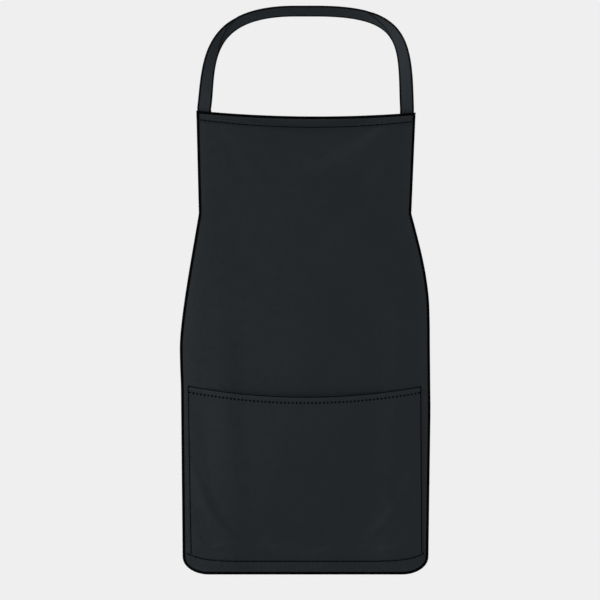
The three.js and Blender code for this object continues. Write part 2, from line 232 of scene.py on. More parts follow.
def smoothed(points, parts=12):
    """A fine line through a run of points."""
    gaps = np.linalg.norm(np.diff(points, axis=0), axis=1)[:, None]
    chords = np.diff(points, axis=0) / gaps
    tangents = np.vstack([chords[:1], chords])
    if len(points) > 2:
        tangents[1:-1] = (chords[:-1] * gaps[1:] + chords[1:] * gaps[:-1]) / (gaps[:-1] + gaps[1:])
        tangents[0] = 2 * chords[0] - tangents[1]
        tangents[-1] = 2 * chords[-1] - tangents[-2]
    t = np.linspace(0, 1, parts, endpoint=False)[None, :, None]
    start, end = points[:-1, None], points[1:, None]
    leave, arrive = (tangents[:-1] * gaps)[:, None], (tangents[1:] * gaps)[:, None]
    line = (
        (2 * t**3 - 3 * t**2 + 1) * start + (t**3 - 2 * t**2 + t) * leave
        + (3 * t**2 - 2 * t**3) * end + (t**3 - t**2) * arrive
    )
    return np.vstack([line.reshape(-1, 2), points[-1:]])


def line_of(points, by):
    """The line as a function of x (by=0) or of z (by=1)."""
    line = points[np.argsort(points[:, by])]
    return lambda value: np.interp(value, line[:, by], line[:, 1 - by])


HIP_Y, HIP_Z = joint_pos("hip_fold")[1:]
SHARP_TURN = 0.1  # radians


class Panel:
    """The outline of one whole sheet, bib and skirt together."""

    def __init__(self, bib, skirt):
        upper, lower = front_outline(bib), front_outline(skirt)
        floor = np.flatnonzero(lower[:, 1] < lower[:, 1].min() + 1e-5)
        heel = {side: int(floor[np.argmax(side * lower[floor, 0])]) for side in (-1, 1)}
        left = np.vstack([
            chain(upper, corner(upper, -1, 1), corner(upper, -1, -1)),
            chain(lower, corner(lower, -1, 1), heel[-1])[1:],
        ])
        right = np.vstack([
            chain(upper, corner(upper, 1, -1), corner(upper, 1, 1))[::-1],
            chain(lower, heel[1], corner(lower, 1, 1))[::-1][1:],
        ])
        top = chain(upper, corner(upper, 1, 1), corner(upper, -1, 1))
        self.left_line, self.waist_z, self.foot_z = self.side(left)
        self.right_line = self.side(right)[0]
        self.left = line_of(self.left_line, 1)
        self.right = line_of(self.right_line, 1)
        self.top_line = smoothed(top)
        self.top = line_of(self.top_line, 0)
        self.top_level = (top[0, 1] + top[-1, 1]) / 2
        self.bottom_z = lower[:, 1].min()

    @staticmethod
    def side(points):
        """One side from the top down: its fine line, and the levels of its two sharp turns."""
        way = np.diff(points, axis=0)
        heading = np.unwrap(np.arctan2(way[:, 1], way[:, 0]))
        turns = np.abs(np.diff(heading))
        above = points[1:-1, 1] > HIP_Z
        waist = 1 + int(np.argmax(np.where(above, turns, 0)))
        foot = 1 + int(np.argmax(~above & (turns > SHARP_TURN)))
        runs = [points[: waist + 1], points[waist : foot + 1], points[foot:]]
        return np.vstack([smoothed(run) for run in runs]), points[waist, 1], points[foot, 1]

    def dip(self, x, level):
        """How far the place at x and a level moves up or down to follow the top edge."""
        share = np.clip((level - self.waist_z) / (self.top_level - self.waist_z), 0, 1)
        return (self.top(x) - self.top_level) * share

    def place(self, u, level):
        x = mix(self.left(level), self.right(level), u)
        return x, level + self.dip(x, level)

    def shares(self, x, z):
        """The share across and the level of a place on the sheet."""
        level = z - self.dip(x, z)
        left, right = self.left(level), self.right(level)
        return np.clip((x - left) / (right - left), 0, 1), level

    def levels(self, step):
        turn = np.linspace(0, math.pi / 2, CORNER_ROWS + 1)[1:]
        straight = spaced(self.top_level, self.foot_z, step)
        return np.concatenate([straight, mix(self.foot_z, self.bottom_z, np.sin(turn))])

    def grid(self, step):
        """x and z of the sheet's points, row by row from the top."""
        width = self.right(HIP_Z) - self.left(HIP_Z)
        u = spaced(0, width, step)[None, :] / width
        return self.place(u, self.levels(step)[:, None])


PANEL = Panel("bib_front_cover", "skirt_front_cover")


# ---- depth

def depth_terms(x, z):
    """A constant and a bow in x squared at three levels, joined by straight stretches between them."""
    knots = np.array([PANEL.foot_z, HIP_Z, PANEL.top_level])
    hats = [np.interp(z, knots, row) for row in np.eye(3)]
    return [hat * power for hat in hats for power in (np.ones_like(x), x * x)]


def fitted_depth():
    x, y, z = np.vstack([front_points("bib_front_cover"), front_points("skirt_front_cover")]).T
    return np.linalg.lstsq(np.stack(depth_terms(x, z), axis=1), y, rcond=None)[0]


DEPTH = fitted_depth()
HIP_ROUNDING = np.linspace(-0.045, 0.045, 5)


def sharp_depth(x, z):
    """y of the panel's front before it is draped, with a sharp bend at the hip."""
    return sum(c * term for c, term in zip(DEPTH, depth_terms(x, z)))


def depth(x, z):
    """The same with the bend rounded."""
    x, z = np.broadcast_arrays(np.asarray(x, float), np.asarray(z, float))
    return sum(sharp_depth(x, z + shift) for shift in HIP_ROUNDING) / len(HIP_ROUNDING)


def layer(node):
    """How far behind the panel's front a CAD node starts and ends."""
    x, y, z = points_and_faces(node)[0].T
    behind = y - sharp_depth(x, z)
    return float(behind.min().round(4)), float(behind.max().round(4))


# ---- drape

DRAPE_COLUMNS = 61
DRAPE_ROWS = 111
DRAPE_FRAMES = 26
DRAPE_LIMIT = 0.008
DRAPE_SLACK = 0.008
BROAD_SOFTENING = 260
SWING_KEPT = 0.25  # of the cloth's swing as a whole
LOOSE_HOLD = 0.012
HANGING = {
    "quality": 5, "mass": 0.4, "tension_stiffness": 30, "compression_stiffness": 30,
    "shear_stiffness": 12, "bending_stiffness": 6, "air_damping": 3, "pin_stiffness": 1,
}
TAB_HOLD = 0.03  # radius round the middle of a tab that doesn't move


def grid_faces(rows, columns):
    at = np.arange(rows * columns).reshape(rows, columns)
    faces = np.stack([at[:-1, :-1], at[1:, :-1], at[1:, 1:], at[:-1, 1:]], axis=-1)
    return faces.reshape(-1, 4)


def settled(points, hold, frames, slack):
    """Hangs a grid of points as cloth, each held by its weight, and gives the places it comes to."""
    rows, columns = points.shape[:2]
    mesh = bpy.data.meshes.new("hanging_trial")
    mesh.from_pydata(points.reshape(-1, 3).tolist(), [], grid_faces(rows, columns).tolist())
    trial = placed("hanging_trial", mesh)
    group = trial.vertex_groups.new(name="held")
    for index, weight in enumerate(hold.ravel().tolist()):
        group.add([index], weight, "REPLACE")
    cloth = trial.modifiers.new("Cloth", "CLOTH")
    cloth.collision_settings.use_collision = False
    for key, value in HANGING.items():
        setattr(cloth.settings, key, value)
    cloth.settings.vertex_group_mass = "held"
    cloth.settings.shrink_min = -slack
    scene = bpy.context.scene
    for number in range(1, frames + 1):
        scene.frame_set(number)
    evaluated = trial.evaluated_get(bpy.context.evaluated_depsgraph_get())
    places = mesh_points(evaluated.data)
    scene.frame_set(1)
    bpy.data.objects.remove(trial)
    bpy.data.meshes.remove(mesh)
    return places.reshape(rows, columns, 3)


def softened(field, times):
    """Evens out a grid of values with its neighbours'."""
    for _ in range(times):
        wide = np.pad(field, 1, mode="edge")
        field = (2 * field + wide[:-2, 1:-1] + wide[2:, 1:-1] + wide[1:-1, :-2] + wide[1:-1, 2:]) / 6
    return field


def limited(field, limit):
    return limit * np.tanh(field / limit)


def looked_up(field, rows, u, level):
    """A grid's value at a share across and a level, straight between its points."""
    row = np.interp(level, rows[::-1], np.arange(len(rows))[::-1])
    column = u * (field.shape[1] - 1)
    r = np.clip(row.astype(int), 0, field.shape[0] - 2)
    c = np.clip(column.astype(int), 0, field.shape[1] - 2)
    down, over = row - r, column - c
    upper = mix(field[r, c], field[r, c + 1], over)
    lower = mix(field[r + 1, c], field[r + 1, c + 1], over)
    return mix(upper, lower, down)


def waves(x, z):
    """The slight unevenness that the cloth starts from: soft flutes that lean and fade towards the bib."""
    down = smoothstep((HIP_Z + 0.25 - z) / 0.5)
    flutes = np.sin(29 * x + 3.1 * z + 0.9) + 0.6 * np.sin(47 * x - 4.3 * z + 2.2)
    return 0.0022 * flutes * mix(0.35, 1, down) + 0.0007 * np.sin(19 * z + 9 * x + 0.4)


def panel_drape():
    levels = np.linspace(PANEL.top_level, PANEL.bottom_z + 0.0005, DRAPE_ROWS)
    x, z = PANEL.place(np.linspace(0, 1, DRAPE_COLUMNS)[None, :], levels[:, None])
    start = on_surface(depth, x, z)
    hold = np.full(x.shape, LOOSE_HOLD)
    for side in TAB_X.values():
        away = np.hypot(x - side, (z - PANEL.top_level + TAB_LENGTH / 2) / 1.3)
        hold = np.maximum(hold, 1 - smoothstep((away - TAB_HOLD) / TAB_HOLD))
    uneven = start + np.stack([0 * x, waves(x, z) * (1 - hold), 0 * x], axis=-1)
    moved = settled(uneven, hold, DRAPE_FRAMES, DRAPE_SLACK)[..., 1] - start[..., 1]
    swing = softened(moved, BROAD_SOFTENING)
    return levels, limited(softened(moved, 3) - (1 - SWING_KEPT) * swing * (1 - hold), DRAPE_LIMIT)


DRAPE_LEVELS, DRAPE = panel_drape()


def drape(x, z):
    u, level = PANEL.shares(x, z)
    return looked_up(DRAPE, DRAPE_LEVELS, u, level)


# ---- seams on the panel

def edge_line(node, upper):
    """The upper or lower edge of a CAD strip as a function of x."""
    best = {}
    for x, _, z in front_points(node).round(5).tolist():
        best[x] = max(best.get(x, z), z) if upper else min(best.get(x, z), z)
    return line_of(smoothed(np.array(sorted(best.items()))), 0)


TOP_HEM = edge_line("top_hem_facing", upper=False)
BOTTOM_HEM = edge_line("bottom_hem_facing", upper=True)
POCKET_LOOP = front_outline("pocket_panel")
POCKET_AT = {
    f"{end}_{side}": corner(POCKET_LOOP, sign, up)
    for end, up in (("top", 1), ("bottom", -1)) for side, sign in SIDES.items()
}
POCKET_CORNERS = {name: POCKET_LOOP[at] for name, at in POCKET_AT.items()}
POCKET_SIDES = [(POCKET_CORNERS[f"bottom_{side}"], POCKET_CORNERS[f"top_{side}"]) for side in SIDES]
POCKET_MOUTH = line_of(smoothed(chain(POCKET_LOOP, POCKET_AT["top_right"], POCKET_AT["top_left"])), 0)
POCKET_BOTTOM = line_of(smoothed(chain(POCKET_LOOP, POCKET_AT["bottom_left"], POCKET_AT["bottom_right"])), 0)


def top_seam(x):
    return TOP_HEM(x) + TOP_SEAM_RISE


def bottom_seam(x):
    return BOTTOM_HEM(x) - BOTTOM_SEAM_DROP


def pucker(along, away, wavelength=0.013, reach=0.009, size=0.0006):
    """Cloth gathered by a row of stitches: small swells that die out away from it."""
    wave = np.sin(2 * math.pi * along / wavelength + 1.8 * np.sin(2 * math.pi * along / 0.083))
    return -size * (0.5 + 0.5 * wave) * np.exp(-((away / reach) ** 2))


def pocket_edges(z):
    """x of the pocket's left and right sides at a level."""
    return [mix(low[0], high[0], (z - low[1]) / (high[1] - low[1])) for low, high in POCKET_SIDES]


def side_puckers(x, z):
    return sum(pucker(z, x - edge, size=0.0005) for edge in pocket_edges(z))


def relief(x, z):
    """How far the seams lift the front cover, always towards the viewer."""
    lift = pucker(x, z - TOP_HEM(x)) + pucker(x, z - BOTTOM_HEM(x))
    beside = smoothstep((POCKET_CORNERS["top_left"][1] + 0.01 - z) / 0.02)
    return lift + side_puckers(x, z) * beside


def on_panel(x, z, behind, proud=True):
    """Places at a depth behind the panel's front, draped, with the seams' relief if proud."""
    x, z = np.broadcast_arrays(np.asarray(x, float), np.asarray(z, float))
    y = depth(x, z) + drape(x, z) + behind
    if proud:
        y = y + relief(x, z)
    return np.stack([x, y, z], axis=-1)


# ---- mesh builders

def finished(name, points, faces, uv, wear_and_crease_shade=None, sharp=40):
    """A smooth mesh object with a texture map in metres, and an attribute of edge wear and painted crease
    shade.
    """
    mesh = bpy.data.meshes.new(name)
    points = np.asarray(points).reshape(-1, 3)
    mesh.from_pydata(points.tolist(), [], [tuple(f) for f in faces])
    layer_uv = mesh.uv_layers.new(name="cloth_metres")
    corners = np.empty(len(mesh.loops), np.int32)
    mesh.loops.foreach_get("vertex_index", corners)
    layer_uv.data.foreach_set("uv", np.asarray(uv).reshape(-1, 2)[corners].astype(np.float32).ravel())
    amount = np.zeros(len(points)) if wear_and_crease_shade is None else np.asarray(wear_and_crease_shade).reshape(-1)
    mesh.attributes.new("wear_and_crease_shade", "FLOAT", "POINT").data.foreach_set("value", amount.astype(np.float32))
    mesh.shade_smooth()
    mesh.set_sharp_from_angle(angle=math.radians(sharp))
    mesh.update()
    return placed(name, mesh)


def ring_faces(here, after):
    """Faces between rings of point numbers and the rings after them."""
    quads = [here, np.roll(here, -1, axis=1), np.roll(after, -1, axis=1), after]
    return np.stack(quads, axis=-1).reshape(-1, 4)


def slab(name, front, back, wear_and_crease_shade=None, uv=None):
    """A closed sheet between two grids of points that run from the top down."""
    rows, columns = front.shape[:2]
    count = rows * columns
    at = np.arange(count).reshape(rows, columns)
    near = grid_faces(rows, columns)
    rim = np.concatenate([at[:, 0], at[-1, 1:], at[-2::-1, -1], at[0, -2:0:-1]])
    after = np.roll(rim, -1)
    walls = np.stack([rim, rim + count, after + count, after], axis=-1)
    faces = np.vstack([near, near[:, ::-1] + count, walls])
    uv = front[..., (0, 2)] if uv is None else uv
    wear_and_crease_shade = None if wear_and_crease_shade is None else np.stack([wear_and_crease_shade, wear_and_crease_shade])
    return finished(name, np.stack([front, back]), faces.tolist(), np.stack([uv, uv]), wear_and_crease_shade)


def swept(name, rings, uv, closed, wear_and_crease_shade=None):
    """A closed solid through rings of points; an open one gets flat ends."""
    count, size = rings.shape[:2]
    at = np.arange(count * size).reshape(count, size)
    after = np.roll(at, -1, axis=0) if closed else at[1:]
    faces = ring_faces(at if closed else at[:-1], after).tolist()
    if not closed:
        faces += [at[0, ::-1].tolist(), at[-1].tolist()]
    return finished(name, rings, faces, uv, wear_and_crease_shade)


def stitches(name, runs, pitch, length, width, height, rings=STITCH_RINGS):
    """Separate raised stitches along runs of (path, facing) points; each dips into the cloth at its ends."""
    share = np.linspace(0, 1, rings)
    swell = np.sqrt(np.clip(1 - (2 * share - 1) ** 6, 0.03, 1))
    angle = np.linspace(0, 2 * math.pi, STITCH_SIDES, endpoint=False)
    lift = height * (np.sin(math.pi * share) ** 0.4 - 0.5)
    body = np.stack([
        np.repeat((share - 0.5)[:, None] * length, STITCH_SIDES, axis=1),
        np.cos(angle) * swell[:, None] * width / 2,
        np.sin(angle) * swell[:, None] * height / 2 + lift[:, None],
    ], axis=-1)
    bodies = []
    for path, facing in runs:
        run = lengths(path)
        count = max(1, round(float(run[-1]) / pitch))
        at = (np.arange(count) + 0.5) * run[-1] / count
        along = unit(taken(path, run, at + length / 2) - taken(path, run, at - length / 2))
        normal = unit(taken(facing, run, at))
        axes = np.stack([along, unit(np.cross(along, normal)), normal], axis=1)
        bodies.append(taken(path, run, at)[:, None, None] + body @ axes[:, None])
    points = np.concatenate(bodies)
    count = len(points)
    at = np.arange(rings * STITCH_SIDES).reshape(rings, STITCH_SIDES)
    ends = [at[0, ::-1].tolist(), at[-1].tolist()]
    base = (np.arange(count) * at.size)[:, None, None]
    faces = (ring_faces(at[:-1], at[1:]) + base).reshape(-1, 4).tolist()
    for first in (np.arange(count) * at.size).tolist():
        faces += [[first + k for k in end] for end in ends]
    uv = np.empty((count, rings, STITCH_SIDES, 2))
    uv[..., 0] = (share * length)[None, :, None] + np.arange(count)[:, None, None] * pitch
    uv[..., 1] = (angle * width / 2)[None, None, :]
    return finished(name, points, faces, uv, sharp=60)


def stitched_row(name, surface, x, z, stitch, step=0.002):
    """Stitches along a line on a surface y(x, z), each facing straight out of it."""
    slope_x = (surface(x + step, z) - surface(x - step, z)) / (2 * step)
    slope_z = (surface(x, z + step) - surface(x, z - step)) / (2 * step)
    facing = np.stack([slope_x, -np.ones_like(x), slope_z], axis=-1)
    return stitches(name, [(on_surface(surface, x, z), facing)], **stitch)


# ---- sheets

BINDING_WIDTH = 0.005


def edge_wear(x, z, reach=0.012):
    """1 at the panel's cut edge, fading inwards."""
    u, level = PANEL.shares(x, z)
    width = PANEL.right(level) - PANEL.left(level)
    beside = np.minimum(u, 1 - u) * width
    nearest = np.minimum(np.minimum(beside, np.abs(z - PANEL.bottom_z)), np.abs(PANEL.top(x) - z))
    return np.exp(-nearest / reach)


def front_cover():
    x, z = PANEL.grid(COVER_STEP)
    near, far = layer("skirt_front_cover")
    return slab("front_cover", on_panel(x, z, near), on_panel(x, z, far), edge_wear(x, z))


def back_lining():
    x, z = PANEL.grid(LINING_STEP)
    near, far = layer("skirt_back_lining")
    front, back = on_panel(x, z, near, False), on_panel(x, z, far, False)
    from_edge = np.minimum(x - PANEL.left(z), PANEL.right(z) - x)
    back[..., 1] -= pucker(z + x, from_edge - BINDING_WIDTH, reach=0.012)
    return slab("back_lining", front, back, edge_wear(x, z))


def lead_sheet(which):
    panel = Panel(f"bib_lead_{which}", f"skirt_lead_{which}")
    x, z = panel.grid(LEAD_STEP)
    near, far = layer(f"skirt_lead_{which}")
    return slab(f"lead_sheet_{which}", on_panel(x, z, near, False), on_panel(x, z, far, False))


# ---- edge binding

BINDING_STEP = 0.003
TAPE = 0.0008
TAPE_GAP = 0.0003
BINDING_LEAN = 0.004  # the tape leans as the panel does over this width
BINDING_SEAM_INSET = 0.0011  # from the tape's inner edge


def binding_path():
    """The panel's whole edge, clockwise from the bottom's middle, as (x, z) points and outward directions."""
    middle = np.array([[(PANEL.left_line[-1, 0] + PANEL.right_line[-1, 0]) / 2, PANEL.bottom_z]])
    left, right = PANEL.left_line[::-1], PANEL.right_line
    top = PANEL.top_line[np.argsort(PANEL.top_line[:, 0])]
    runs = [np.vstack([middle, left[:1]]), left, top, right, np.vstack([right[-1:], middle])]
    points = []
    for run in runs:
        length = lengths(run)
        points.append(taken(run, length, spaced(0, length[-1], BINDING_STEP)[:-1]))
    path = np.vstack(points)
    ways = unit(np.roll(path, -1, axis=0) - path)
    normal = np.stack([-ways[:, 1], ways[:, 0]], axis=1)
    middle_way = unit(normal + np.roll(normal, 1, axis=0))
    return path, middle_way / np.sum(middle_way * normal, axis=1, keepdims=True)


def binding_section():
    """Outward and behind places of the folded tape, round its outside and back along its inside."""
    stack = layer("skirt_back_lining")[1]
    half = stack / 2
    turn = np.linspace(-math.pi / 2, math.pi / 2, 9)

    def fold(clear, out):
        arc = np.stack([out * np.cos(turn), half + (half + clear) * np.sin(turn)], axis=1)
        straight = np.linspace(-BINDING_WIDTH, -0.0012, 4)
        return np.vstack([
            np.stack([straight, np.full(4, -clear)], axis=1), arc,
            np.stack([straight[::-1], np.full(4, stack + clear)], axis=1),
        ])

    outside = fold(TAPE_GAP + TAPE, TAPE_GAP + TAPE)
    inside = fold(TAPE_GAP * 0.5, 0.0002)[::-1]
    return np.vstack([outside, inside]), len(outside)


def edge_binding():
    path, outward = binding_path()
    section, outer = binding_section()
    along = np.arange(len(path)) * BINDING_STEP
    ripple = 0.00008 * np.sin(2 * math.pi * along / 0.0085 + np.sin(along * 40))
    out = section[None, :, 0] + np.where(np.arange(len(section)) < outer, 1, 0) * ripple[:, None]
    x, z = (path[:, None, k] + outward[:, None, k] * out for k in (0, 1))
    edge, inside = (on_panel(*(path - outward * inset).T, 0)[:, 1] for inset in (0, BINDING_LEAN))
    y = edge[:, None] + (edge - inside)[:, None] / BINDING_LEAN * out + section[None, :, 1]
    uv = paired(along, lengths(section))
    return swept("edge_binding", np.stack([x, y, z], axis=-1)[:, ::-1], uv[:, ::-1], closed=True)


def binding_stitches():
    path, outward = binding_path()
    near = path - outward * (BINDING_WIDTH - BINDING_SEAM_INSET)
    back = layer("skirt_back_lining")[1]
    sides = ((-TAPE_GAP - TAPE, -1), (back + TAPE_GAP + TAPE, 1))
    runs = [straight_out(on_panel(*near.T, behind), way) for behind, way in sides]
    return stitches("edge_binding_stitches", runs, **BINDING_STITCH)


# ---- hems

HEM_ROWS = 17
HEM_SWELL = 0.0007
HEM_GROOVE = 0.0004


def hem(end, seam):
    """A facing sewn on the panel, puffed between its edges, and the row of stitches in its groove."""
    node = f"{end}_hem_facing"
    upper, lower = edge_line(node, True), edge_line(node, False)
    near, far = layer(node)
    low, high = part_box(node)

    def surface(x, z):
        share = np.clip((upper(x) - z) / (upper(x) - lower(x)), 0, 1)
        puff = HEM_SWELL * np.sqrt(np.sin(math.pi * share)) * np.exp(-((x / high.x) ** 12))
        groove = HEM_GROOVE * np.exp(-(((z - seam(x)) / 0.0016) ** 2))
        return on_panel(x, z, near)[..., 1] + groove - puff + pucker(x, z - seam(x), reach=0.006)

    share = np.linspace(0, 1, HEM_ROWS)[:, None]
    x, share = np.broadcast_arrays(spaced(low.x, high.x, STRIP_STEP)[None, :], share)
    z = mix(upper(x), lower(x), share)
    strip = slab(f"{end}_hem", on_surface(surface, x, z), on_panel(x, z, far), np.abs(2 * share - 1) ** 6)
    x = np.linspace(low.x + ROW_INSET, high.x - ROW_INSET, 500)
    return strip, stitched_row(f"{end}_hem_stitches", surface, x, seam(x), SEAM_STITCH)


# ---- pocket

POCKET_CLOTH = 0.0009
HEM_TURN = 0.018
HEM_BELOW_SADDLE = 0.006
HEM_LOOSE = 0.0006
LIP_ROWS = 16
TURN_ROWS = 7
FOLD_RADIUS = 0.0011
LIP_SHIFT = 0.35  # of the fold's radius, towards the wearer
LIP_HEIGHT = 0.55  # of its reach
POCKET_STEP = 0.0045
POCKET_FRAMES = 24
POCKET_LIMIT = 0.005
POCKET_DRAPE_SLACK = 0.01
POCKET_LOOSE_HOLD = 0.01
POCKET_COLUMNS = 61
POCKET_ROWS = 45
LIP_WEAR_REACH = 0.004


def pocket_up(x, z):
    return np.clip((z - POCKET_BOTTOM(x)) / (POCKET_MOUTH(x) - POCKET_BOTTOM(x)), 0, 1)


def pocket_inward(x, z):
    """1 in the middle of the pocket, 0 at its side seams."""
    edge = np.where(np.asarray(x) < 0, *pocket_edges(z))
    return np.clip(1 - (x / edge) ** 2, 0, 1)


# The CAD panel stands off this far in the middle of its mouth, and this far at its seams
POCKET_OFF, POCKET_CLEAR = (-place for place in layer("pocket_panel"))
POCKET_SLACK = POCKET_OFF - POCKET_CLOTH - POCKET_CLEAR


def pocket_stand_off(x, z):
    up = pocket_up(x, z)
    return POCKET_CLEAR + POCKET_SLACK * pocket_inward(x, z) * up * (2 - up)


def pocket_place(u, v):
    x = mix(*(mix(low[0], high[0], v) for low, high in POCKET_SIDES), u)
    return x, mix(POCKET_BOTTOM(x), POCKET_MOUTH(x), v)


def pocket_drape():
    v = np.linspace(1, 0, POCKET_ROWS)
    x, z = pocket_place(np.linspace(0, 1, POCKET_COLUMNS)[None, :], v[:, None])
    start = np.stack([x, depth(x, z) - pocket_stand_off(x, z), z], axis=-1)
    rim = np.minimum(pocket_inward(x, z) * 6, v[:, None] * 8)
    hold = np.clip(1 - rim, POCKET_LOOSE_HOLD, 1)
    uneven = start + np.stack([0 * x, 1.3 * waves(1.4 * x, z) * (1 - hold), 0 * x], axis=-1)
    moved = settled(uneven, hold, POCKET_FRAMES, POCKET_DRAPE_SLACK)[..., 1] - start[..., 1]
    return v, limited(softened(moved, 2), POCKET_LIMIT)


POCKET_LEVELS, POCKET_DRAPE = pocket_drape()


def pocket_surface(x, z):
    """y of the pocket panel's inner face."""
    x, z = np.broadcast_arrays(np.asarray(x, float), np.asarray(z, float))
    v = pocket_up(x, z)
    left, right = pocket_edges(z)
    u = np.clip((x - left) / (right - left), 0, 1)
    sway = looked_up(POCKET_DRAPE, POCKET_LEVELS, u, v)
    stand_off = np.maximum(pocket_stand_off(x, z) - sway, POCKET_CLEAR)
    return depth(x, z) + drape(x, z) - stand_off


def hem_relief(x, z):
    """The turned hem's puff above the saddle stitch, and the groove that the stitch pulls."""
    down = POCKET_MOUTH(x) - z
    puff = 0.0012 * np.sqrt(np.clip(np.sin(math.pi * np.clip(down / SADDLE_DROP, 0, 1)), 0, 1))
    groove = 0.0005 * np.exp(-(((down - SADDLE_DROP) / 0.0018) ** 2))
    return puff - groove - pucker(x, down - SADDLE_DROP, wavelength=0.0188, reach=0.007, size=0.0009)


def pocket_front(x, z):
    return pocket_surface(x, z) - POCKET_CLOTH - hem_relief(x, z) + side_puckers(x, z)


def pocket_panel():
    """The cloth runs up to the mouth, turns over and comes down inside as the hem."""
    width = POCKET_CORNERS["top_right"][0] - POCKET_CORNERS["top_left"][0]
    u = spaced(0, width, POCKET_STEP)[None, :] / width
    height = POCKET_CORNERS["top_left"][1] - POCKET_CORNERS["bottom_left"][1]
    hem_share = (SADDLE_DROP + HEM_BELOW_SADDLE) / height
    body = spaced(0, 1 - hem_share, POCKET_STEP / height)[:-1]
    v = np.concatenate([body, np.linspace(1 - hem_share, 1, LIP_ROWS)])
    x, z = pocket_place(u, v[:, None])
    z = np.minimum(z, POCKET_MOUTH(x) - FOLD_RADIUS)
    outer, inner = (list(on_surface(surface, x, z)) for surface in (pocket_front, pocket_surface))
    lip_x, lip_z = x[-1], z[-1]
    front, back = outer[-1][:, 1], inner[-1][:, 1]
    centre = back + FOLD_RADIUS * LIP_SHIFT
    for turn in np.linspace(0, math.pi, TURN_ROWS)[1:]:
        for ring, reach in ((outer, centre - front), (inner, centre - back)):
            y = centre - reach * math.cos(turn)
            ring.append(np.stack([lip_x, y, lip_z + reach * math.sin(turn) * LIP_HEIGHT], axis=-1))
    turned = outer[-1][:, 1] - front
    for share in np.linspace(0, 1, TURN_ROWS)[1:]:
        down = lip_z - HEM_TURN * share
        gap = mix(turned, POCKET_CLOTH * 2 + HEM_LOOSE, share)
        skin = pocket_surface(lip_x, down) - POCKET_CLOTH
        outer.append(np.stack([lip_x, skin + gap, down], axis=-1))
        inner.append(np.stack([lip_x, skin + gap - POCKET_CLOTH, down], axis=-1))
    outer, inner = np.array(outer)[::-1], np.array(inner)[::-1]
    down = lengths(outer[:, outer.shape[1] // 2])
    uv = np.stack([outer[..., 0], -down[:, None] + 0 * outer[..., 0]], axis=-1)
    wear_and_crease_shade = np.exp(-np.abs(POCKET_MOUTH(outer[..., 0]) - outer[..., 2]) / LIP_WEAR_REACH)
    return slab("pocket_panel_cloth", outer, inner, wear_and_crease_shade, uv)


def pocket_row(name, drop, stitch):
    """A row of stitches under the pocket's mouth."""
    left, right = POCKET_CORNERS["top_left"][0], POCKET_CORNERS["top_right"][0]
    x = np.linspace(left + ROW_INSET, right - ROW_INSET, 600)
    return stitched_row(name, pocket_front, x, POCKET_MOUTH(x) - drop, stitch)


def pocket_side_row(side):
    sign = SIDES[side]
    x, z = pocket_place((1 + sign) / 2, np.linspace(0, SIDE_ROW_TOP, 300))
    points = on_surface(pocket_front, x - sign * POCKET_SIDE_INSET, z)
    return stitches(f"pocket_side_stitches_{side}", [straight_out(points, -1)], **SEAM_STITCH)


# ---- strap

STRAP_AT = layer("strap_tab_left")[0]
CREASE_SIZE = 0.0011
TAB_SEAM_INSET = 0.0006
THREAD_LIFT = 0.0001


def bezier(points, share):
    p = np.array(points)
    t = np.asarray(share)[:, None]
    place = (1 - t) ** 3 * p[0] + 3 * (1 - t) ** 2 * t * p[1] + 3 * (1 - t) * t**2 * p[2] + t**3 * p[3]
    way = (1 - t) ** 2 * (p[1] - p[0]) + 2 * (1 - t) * t * (p[2] - p[1]) + t**2 * (p[3] - p[2])
    return place, unit(way)


def strap_side(side):
    """Middle, width and thickness directions from the nape down to a corner, and the share of the way."""
    sign = SIDES[side]
    shoulder, chest, end = STRAP_CURVES[side]
    share = np.linspace(0, 1, round(0.4 / STRAP_STEP))
    middle, along = bezier([
        (sign * NAPE_HALF, 0, 0), (shoulder[0], 0, shoulder[1]),
        (chest[0], -STRAP_SETBACK, chest[1]), (end[0], -STRAP_SETBACK, end[1]),
    ], share)
    outer = unit(np.stack([-along[:, 2], along[:, 0]], axis=1)) * sign
    back = mix(STRAP_AT_CORNER, STRAP_AT_NAPE, 1 - share**3)
    seen = np.sqrt(STRAP_WIDTH**2 - back**2)
    width = np.stack([outer[:, 0] * seen, back, outer[:, 1] * seen], axis=1) / STRAP_WIDTH
    behind = unit(np.cross(along, width))
    behind *= np.where(behind[:, 1:2] < 0, -1, 1)
    return middle, width, behind, share


def strap_tab(side):
    """The same for the tab that is sewn behind the bib's corner, from the top down."""
    sign = SIDES[side]
    low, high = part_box(f"strap_tab_{side}")
    z = spaced(high.z, low.z, STRAP_STEP)
    x = np.full_like(z, TAB_X[side])
    middle = np.stack([x, depth(x, z) + STRAP_AT, z], axis=1)
    slope = (depth(x + 0.01, z) - depth(x - 0.01, z)) / 0.02
    width = unit(np.stack([np.full_like(z, sign), sign * slope, 0 * z], axis=1))
    behind = unit(np.stack([-slope, np.ones_like(z), 0 * z], axis=1))
    return middle, width, behind


def strap_frames():
    """The whole strap from the left tab's end to the right one's, as rows of frames."""
    rows = []
    for side in SIDES:
        middle, width, behind, share = strap_side(side)
        tab = strap_tab(side)
        parts = [np.vstack(pair) for pair in zip((middle, width, behind), tab)]
        shares = np.concatenate([share, 1 + np.arange(1, len(tab[0]) + 1) * STRAP_STEP])
        if side == "left":
            parts, shares = [part[::-1] for part in parts], -shares[::-1]
        rows.append((*parts, shares))
    return [np.concatenate(pair) for pair in zip(*rows)]


def strap_section():
    """Places across the webbing from -1 to 1 and through it from 0 to 1, with rounded selvedges."""
    face = np.linspace(-0.93, 0.93, 37)
    turn = np.linspace(-math.pi / 2, math.pi / 2, 5)[1:-1]
    return np.vstack([
        np.stack([face, np.zeros_like(face)], axis=1),
        np.stack([0.93 + 0.07 * np.cos(turn), 0.5 + 0.5 * np.sin(turn)], axis=1),
        np.stack([face[::-1], np.ones_like(face)], axis=1),
        np.stack([-0.93 - 0.07 * np.cos(turn), 0.5 - 0.5 * np.sin(turn)], axis=1),
    ])


